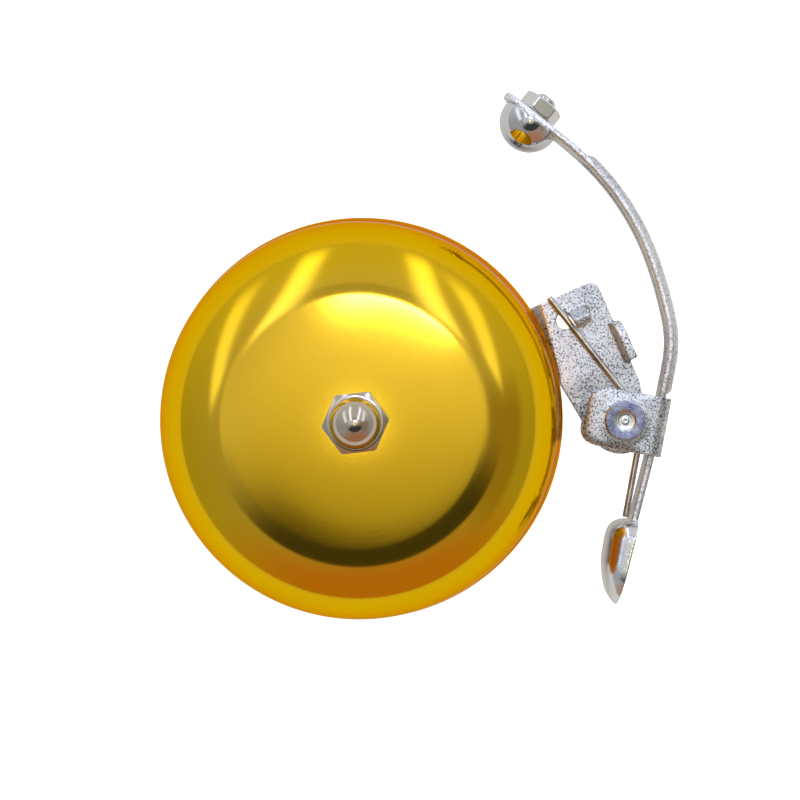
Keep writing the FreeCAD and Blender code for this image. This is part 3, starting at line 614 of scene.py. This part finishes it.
def spoon():
    """The thumb's dished pad, drawn out of the strip's end."""
    half_length, top, bottom, rim, sheet = 6.5, 0.35, -12.4, 0.85, 0.8
    upper_corner, lower_corner = 2.6, 5.2
    centre = np.array([-5.6, 0.0])
    floor_run, floor_depth = [bottom, -10.9, -6.6, -1.2, top], [1.5, 2.3, 3.5, 4.0, 4.1]

    def outline(inset):
        """The pad's rounded edge, drawn in by an inset, as 120 evenly spaced points."""
        half, low, high = half_length - inset, bottom + inset, top - inset
        corners = [(high, -half, upper_corner), (high, half, upper_corner), (low, half, lower_corner),
                   (low, -half, lower_corner)]
        loop = np.array(fillet(corners, steps=14))
        gaps = np.linalg.norm(np.diff(loop, axis=0, append=loop[:1]), axis=1)
        run = np.concatenate([[0], np.cumsum(gaps)])
        loop = np.vstack([loop, loop[:1]])
        wanted = np.linspace(0, run[-1], 121)[:-1]
        return np.stack([np.interp(wanted, run, loop[:, i]) for i in (0, 1)], axis=1)

    def skin(edge, less):
        """Rings from the edge in to the centre. Their depth is the floor's, less an amount."""
        rings = []
        for share in np.linspace(1, 0, 26) ** 0.8:
            flat = centre + (edge - centre) * share
            depth = np.interp(flat[:, 0], floor_run, floor_depth) - less
            depth = depth * max(0.0, 1 - share**4.5) ** 0.55
            rings.append(np.stack([HALF_SHEET - depth, flat[:, 0], flat[:, 1]], axis=1))
        return rings

    points, rings = [], []
    for level in skin(outline(0.0), 0.0)[::-1] + skin(outline(rim), sheet):
        if np.ptp(level, axis=0).max() < 1e-6:
            rings.append([len(points)])
            points.append(level[0])
            continue
        rings.append(list(range(len(points), len(points) + len(level))))
        points.extend(level)
    return new_mesh("spoon", points, bands(rings))


def joined(*objs):
    """The first object, holding the others' meshes as well."""
    bm = bmesh.new()
    for obj in objs:
        bm.from_mesh(obj.data)
    bm.to_mesh(objs[0].data)
    bm.free()
    for obj in objs[1:]:
        bpy.data.objects.remove(obj)
    return objs[0]


def arm():
    obj = softened(joined(arm_strip(), spoon()), 0.16, 3)
    obj.name = "arm"
    place = Matrix.Translation(Vector(ARM_PLACE) * MM)
    obj.data.transform(place @ Matrix.Rotation(math.radians(ARM_TURN), 4, "Z"))
    return piece(obj, "striker", ZINC_SMOOTH, "zinc_plated_steel", "striker_arm")


def lever():
    """The folded fork. Its front ear's free edge is rolled down, and that ear is dished up a little round the
    rivet. Both are shaped with the pivot at the origin and the ears square to the axes."""
    turn = Matrix.Rotation(math.radians(10.5), 4, "Z")
    back, half, corner, roll_width = 5.6, 4.4, 2.4, 1.2
    front_roll, rear_roll, boss_rise = 0.26, 0.05, 0.09
    obj = from_cad("lever_fork", "lever_bracket")
    obj.data.transform(turn @ Matrix.Translation(-PIVOT * MM))
    softened(obj, 0.12, 5)

    def roll(points):
        points = points.copy()
        x, y = -points[:, 0], np.abs(points[:, 1])
        past_corner = np.hypot(np.maximum(x - (back - corner), 0), np.maximum(y - (half - corner), 0))
        inside = corner - past_corner
        near = np.clip(1 - inside / roll_width, 0, 1) * np.clip((half + x) / 2.5, 0, 1)
        reach = np.linalg.norm(points[:, :2], axis=1)
        front = points[:, 2] > ARM_LEVEL
        boss = boss_rise * (1 - smoothstep(3.0, 3.9, reach))
        points[:, 2] += np.where(front, boss - front_roll * near**2, rear_roll * near**2)
        return points

    moved(obj, roll)
    obj.data.transform(Matrix.Translation(PIVOT * MM) @ turn.inverted())
    return piece(shade(obj, 60.0), "striker", ZINC, "zinc_plated_steel", "lever_bracket")


def stand_on_arm(obj):
    """Moves a piece made about Z to the arm's hammer hole, standing on the arm's inner face."""
    place, heading, _ = arm_line()[-1]
    hole = place - radial(heading) * HOLE_FROM_END
    frame_turn = Matrix.Rotation(math.radians(ARM_TURN), 4, "Z")
    inward = frame_turn @ Vector(radial(heading + 90))
    seat = Vector(ARM_PLACE) + frame_turn @ Vector(hole) + inward * HALF_SHEET
    upright = inward.to_track_quat("Z", "Y").to_matrix().to_4x4()
    obj.data.transform(Matrix.Translation(seat * MM) @ upright)
    return obj


def hammer():
    """A steel button a little more than half a ball, riveted on its stem through the arm."""
    radius, rise = 4.5, 0.4
    start = math.asin(rise / radius)
    ball = [(radius * math.cos(a), rise + radius * math.sin(a)) for a in np.linspace(-start, math.pi / 2, 56)]
    ball[-1] = (0.0, radius + rise)
    under = [(1.5, -0.4), (1.5, 0.0), (ball[0][0] - 0.25, 0.0), (ball[0][0] - 0.06, 0.03)]
    tail = [(0.0, -4.2), (1.1, -4.2), (1.38, -4.0), (1.5, -3.7)]
    ball = [(r, z) for r, z in ball if z > 0.04]
    obj = revolve("hammer", tail + under + ball, 128, sharp=35.0)
    return piece(stand_on_arm(obj), "striker", BALL, "polished_steel", "hammer_head")


# ---------------------------------------------------------------- rivet and spring

def rivet():
    """A headed rivet, its dimpled face peened and its tail spread over the washer."""
    top, tail, under, head_thickness = 23.9, 12.55, 13.35, 1.0
    shank, tail_radius, head_radius = 1.6, 2.6, 3.0
    corners = [
        (0.0, tail + 0.1, 0), (0.9, tail + 0.05, 0.2), (2.1, tail, 0.5), (tail_radius, tail + 0.45, 0.25),
        (tail_radius, under, 0.05), (shank, under, 0), (shank, top - head_thickness, 0),
        (head_radius, top - head_thickness, 0.08), (head_radius, top - 0.14, 0.14), (2.72, top + 0.02, 0.25),
        (1.62, top, 0.14), (1.4, top - 0.20, 0.16), (0.75, top - 0.27, 0.3), (0.28, top - 0.22, 0.08),
        (0.0, top - 0.30, 0),
    ]
    obj = revolve("rivet", fillet(corners, closed=False, steps=5), 144, sharp=38.0)
    obj.data.transform(Matrix.Translation(PIVOT * MM))
    return piece(obj, "base", RIVET, "rivet_steel", "pivot_rivet")


def wire_rings(path, radius, around=20, end_bevel=0.07):
    """Points and rings of a round wire along a path, closed by slightly bevelled ends."""
    points, rings = [], []
    side = np.array([0.0, 0.0, 1.0])
    last = len(path) - 1
    for i, place in enumerate(path):
        heading = path[min(i + 1, last)] - path[max(i - 1, 0)]
        heading = heading / np.linalg.norm(heading)
        side = side - heading * (side @ heading)
        side = side / np.linalg.norm(side)
        other = np.cross(heading, side)
        insets = [(radius, 0.0)]
        if i in (0, last):
            insets = [(0.0, 0.0), (radius - end_bevel, 0.0), (radius, end_bevel)]
        if i == last:
            insets = insets[::-1]
        for size, back in insets:
            centre = place + heading * back * (1 if i == 0 else -1)
            if size == 0.0:
                rings.append([len(points)])
                points.append(centre)
                continue
            rings.append(list(range(len(points), len(points) + around)))
            for k in range(around):
                angle = 2 * math.pi * k / around
                points.append(centre + (side * math.cos(angle) + other * math.sin(angle)) * size)
    return points, rings


def spring():
    """The torsion spring: a fixed leg, three left-hand turns and a free leg, in one round wire."""
    radius, pitch, wire, bend, level = 2.86, 1.0, 0.475, 20.0, 17.525
    turns, fixed_turn, free_turn, fixed_leg, free_leg = 3, 38.3, -10.3, 19.95, 12.9
    sweep = turns * 360 + fixed_turn - free_turn
    climb = math.atan(pitch / (2 * math.pi * radius))
    up = np.array([0.0, 0.0, 1.0])

    def along(degrees):
        side = radial(degrees)
        return np.array([side[1], -side[0], 0.0])

    def eased(point, heading, radius_of_bend):
        """Points of the gentle arc that eases a level leg into the coil's climb, ending at the point."""
        centre = point - heading * radius_of_bend * math.sin(climb) + up * radius_of_bend * math.cos(climb)
        return [centre + heading * radius_of_bend * math.sin(a) - up * radius_of_bend * math.cos(a)
                for a in np.linspace(0, climb, 6)]

    start = radial(fixed_turn) * radius
    finish = radial(free_turn) * radius + up * pitch * sweep / 360
    first, last = along(fixed_turn), along(free_turn)
    lead_in = eased(start, first, bend)
    lead_out = eased(finish, last, -bend)[::-1]
    coil = [radial(fixed_turn - sweep * t) * radius + up * pitch * sweep / 360 * t
            for t in np.linspace(0, 1, 220)]
    fixed_leg_line = [lead_in[0] - first * fixed_leg * t for t in np.linspace(1, 0, 40)]
    free_leg_line = [lead_out[-1] + last * free_leg * t for t in np.linspace(0, 1, 30)]
    path = fixed_leg_line[:-1] + lead_in[:-1] + coil + lead_out[1:] + free_leg_line[1:]
    path = np.array(path) + np.array([PIVOT.x, PIVOT.y, level])
    points, rings = wire_rings(path, wire)
    obj = new_mesh("spring", points, bands(rings), sharp=50.0)
    piece(obj, None, WIRE, "spring_steel", "torsion_spring")
    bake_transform(obj)
    return obj


# ---------------------------------------------------------------- pieces worked up from CAD parts

WING_TURN = 23.5

# name, CAD node, body, material, slot, then softened()'s voxel, rounds and turn
SKINNED = [
    ("bracket_plate", "mounting_bracket", "base", ZINC, "zinc_plated_steel", 0.14, 6, WING_TURN),
    ("saddle", "clamp_saddle", "base", ZINC_DULL, "clamp_steel", 0.22, 3, 0.0),
    ("strap", "clamp_strap", "base", ZINC_DULL, "clamp_steel", 0.22, 3, 0.0),
    ("screws", "clamp_screws", "base", ZINC_DULL, "fastener_steel", 0.12, 2, 0.0),
    ("split_washers", "clamp_lock_washers", "base", ZINC_DULL, "fastener_steel", 0.12, 2, 0.0),
    ("screw_nuts", "clamp_nuts", "base", ZINC_DULL, "fastener_steel", 0.14, 2, 0.0),
    ("stud", "centre_stud", "base", ZINC_DULL, "fastener_steel", 0.13, 2, 0.0),
    ("stud_split_washer", "stud_lock_washer", "base", ZINC_DULL, "fastener_steel", 0.13, 2, 0.0),
    ("lower_nut", "stud_nut", "base", ZINC_DULL, "fastener_steel", 0.14, 2, 0.0),
    ("upper_nut", "support_nut", "base", ZINC_DULL, "fastener_steel", 0.14, 2, 0.0),
    ("under_washer", "support_washer", "base", ZINC_DULL, "fastener_steel", 0.13, 2, 0.0),
    ("fibre_seat", "seat_washer", "base", FIBRE, "fibre", 0.15, 2, 0.0),
    ("tail_washer", "rivet_washer", "base", ZINC_DULL, "fastener_steel", 0.10, 2, 0.0),
    ("coil_bush", "pivot_bush", "base", FIBRE, "fibre", 0.12, 2, 0.0),
    ("hammer_hex", "hammer_nut", "striker", NUT, "fastener_steel", 0.10, 2, 0.0),
]


def eased_step(points):
    """Eases the small step in the wing's upper face, just short of the fork, into a slope."""
    turn, wing_top, drop = math.radians(WING_TURN), 17.0, 0.1
    edge, slope_from, slope_to = -6.5, -7.2, -10.4
    down = points[:, 1] * math.cos(turn) - points[:, 0] * math.sin(turn)
    near_top = (points[:, 2] > wing_top - 1.8 * drop) & (points[:, 2] < wing_top + 0.5 * drop)
    points = points.copy()
    eased = wing_top - drop * smoothstep(slope_from, slope_to, down)
    points[:, 2] = np.where(near_top & (down < edge), eased, points[:, 2])
    return points


def skinned_parts():
    screw_places = ((0.0, -17.5), (0.0, 17.5))
    for name, node, body, material, slot, voxel, rounds, turn in SKINNED:
        obj = softened(from_cad(name, node), voxel, rounds, turn)
        if name == "bracket_plate":
            moved(obj, eased_step)
        if name == "stud":
            threaded(obj, (0.0, 0.0), low=15.4, high=50.0, pitch=0.8, radius=2.5, depth=0.36)
        if name == "screws":
            for place in screw_places:
                threaded(obj, place, low=-1.6, high=6.6, pitch=0.7, radius=2.0, depth=0.30)
        piece(obj, body, material, slot, node)


# ---------------------------------------------------------------- stage, light and camera

FLOOR_LEVEL = -12.32


def stage():
    """A wide sheet of paper just under the clamp."""
    size = 3000.0
    corners = [(-size, -size), (size, -size), (size, size), (-size, size)]
    obj = new_mesh("floor", [(x, y, FLOOR_LEVEL) for x, y in corners], [(0, 1, 2, 3)])
    obj.data.materials.append(floor_paper())


def studio():
    """A pale room: bright towards +Y and overhead, warm and darker towards -Y. It lights the bell and shows
    in its reflections, but the camera itself sees white behind it."""
    cool, soft_white, glint = rgb(1.66, 1.72, 2.1), rgb(1.20, 1.23, 1.4), rgb(13.0, 13.0, 18.0)
    warm, brown = rgb(0.46, 0.22, 0.12), rgb(0.30, 0.25, 0.17)
    sky = bpy.data.worlds.new("studio")
    bpy.context.scene.world = sky
    sky.use_nodes = True
    n = Nodes(sky.node_tree)
    direction = n.add("ShaderNodeTexCoord").outputs["Generated"]

    def grey(level):
        return rgb(level, level, level * 1.01)

    def dot(axis):
        product = n.add("ShaderNodeVectorMath", {0: direction, 1: axis}, operation="DOT_PRODUCT")
        return product.outputs["Value"]

    def aimed(zenith, azimuth):
        level = Vector(radial(azimuth)) * math.sin(math.radians(zenith))
        return level + Vector((0, 0, math.cos(math.radians(zenith))))

    def lobe(towards, inner, outer):
        """1 inside a cone of the inner angle about a direction, 0 outside the outer one."""
        return n.ramp(dot(Vector(towards).normalized()), math.cos(math.radians(outer)),
                      math.cos(math.radians(inner)))

    def strip(start, finish, half_width, soft):
        """1 inside a band of the sky that runs between two directions, fading to 0 at its edges and ends."""
        before, after, fade = math.radians(-3.0), math.radians(4.0), math.radians(22.0)
        aside = start.cross(finish).normalized()
        onward = aside.cross(start).normalized()
        length = start.angle(finish)
        off = n.math("ABSOLUTE", dot(aside))
        across = n.ramp(off, math.radians(half_width), math.radians(half_width + soft), 1.0, 0.0)
        run = n.math("ARCTAN2", dot(onward), dot(start))
        begins = n.ramp(run, before, after)
        ends = n.ramp(run, length - fade, length + after, 1.0, 0.0)
        return n.math("MULTIPLY", across, n.math("MULTIPLY", begins, ends))

    axes = n.axes(direction)
    from_zenith = n.math("ARCCOSINE", axes[2])
    zenith = n.math("MULTIPLY", from_zenith, 180 / math.pi)
    flat = n.math("MAXIMUM", n.math("SINE", from_zenith), 1e-4)

    def patch(low, high, soft, azimuth, half, azimuth_soft):
        """1 in a patch of the sky between two zenith angles, round an azimuth, fading to 0 round it."""
        facing = n.math("DIVIDE", dot(Vector(radial(azimuth))), flat)
        above, below = n.ramp(zenith, low - soft, low), n.ramp(zenith, high, high + soft, 1.0, 0.0)
        edge, core = math.cos(math.radians(half + azimuth_soft)), math.cos(math.radians(half))
        return n.math("MULTIPLY", n.math("MULTIPLY", above, below), n.ramp(facing, edge, core))

    overhead = n.math("ADD", n.ramp(axes[1], -0.20, 0.13, 0.46, 0.88), n.math("MULTIPLY", axes[0], 0.16))
    overhead_colour = n.add("ShaderNodeCombineColor", {
        0: n.scaled(overhead, 0.96, 0.05), 1: overhead, 2: n.math("MULTIPLY", overhead, overhead)}).outputs[0]
    colour = n.mix(lobe((0, 1, 0.2), 20, 100), grey(0.38), grey(0.60))
    patches = (
        (lobe((0.1, -1, 0.2), 15, 62), warm),
        (lobe((0, 0, 1), 10, 22), overhead_colour),
        (patch(17, 27, 4, 90, 20, 22), grey(0.42)),
        (patch(15, 26, 5, 160, 24, 20), grey(0.66)),
        (patch(26, 60, 12, -14, 12, 24), brown),
        (patch(14.0, 38, 2.9, -82, 42, 34), grey(0.05)),
        (strip(aimed(19, 142), aimed(91, 104), 1.6, 5.0), cool),
        (strip(aimed(19, 46), aimed(91, 72), 1.6, 5.0), cool),
        (strip(aimed(37, 173), aimed(84, 128), 1.8, 7.5), soft_white),
        (strip(aimed(37, 17), aimed(84, 58), 1.8, 7.5), soft_white),
        (patch(11.2, 13.2, 1.0, 78, 20, 18), glint),
        (lobe((-0.032, -0.022, 1), 1.2, 2.2), grey(5.0)),
        (n.add("ShaderNodeLightPath").outputs["Is Camera Ray"], grey(1.0)),
    )
    for share, light in patches:
        colour = n.mix(share, colour, light)
    n.give(n.tree.nodes["Background"].inputs["Color"], colour)


def overhead_lamp():
    """A wide soft box over the bell. Its place and size are in metres, and metal doesn't reflect it."""
    size, height, radiance = 3.0, 2.2, 1.0
    light = bpy.data.lights.new("fill", "AREA")
    light.shape = "SQUARE"
    light.size = size
    light.energy = radiance * size**2 * math.pi
    obj = bpy.data.objects.new("fill", light)
    obj.location = (0.0, 0.0, height)
    obj.visible_camera = False
    obj.visible_glossy = False
    bpy.context.scene.collection.objects.link(obj)


def camera():
    """Straight above the bell, a little to the striker's side, and close enough for the shell to hide its own
    rim. The picture's up is +X."""
    place, aim = Vector((9.1, 6.2, 331.2)), Vector((5.68, 2.76, RIM_LEVEL))
    data = bpy.data.cameras.new("camera")
    data.lens = 94.4
    data.sensor_width = 36.0
    data.clip_start = 0.01
    obj = bpy.data.objects.new("camera", data)
    obj.location = place * MM
    back = (place - aim).normalized()
    right = Vector((0, 1, 0)).cross(back).normalized()
    upward = back.cross(right)
    obj.rotation_euler = Matrix((right, upward, back)).transposed().to_euler()
    bpy.context.scene.collection.objects.link(obj)
    bpy.context.scene.camera = obj


shell()
acorn()
arm()
lever()
hammer()
rivet()
spring()
skinned_parts()
stage()
studio()
overhead_lamp()
camera()
bpy.context.scene.view_settings.view_transform = "Standard"
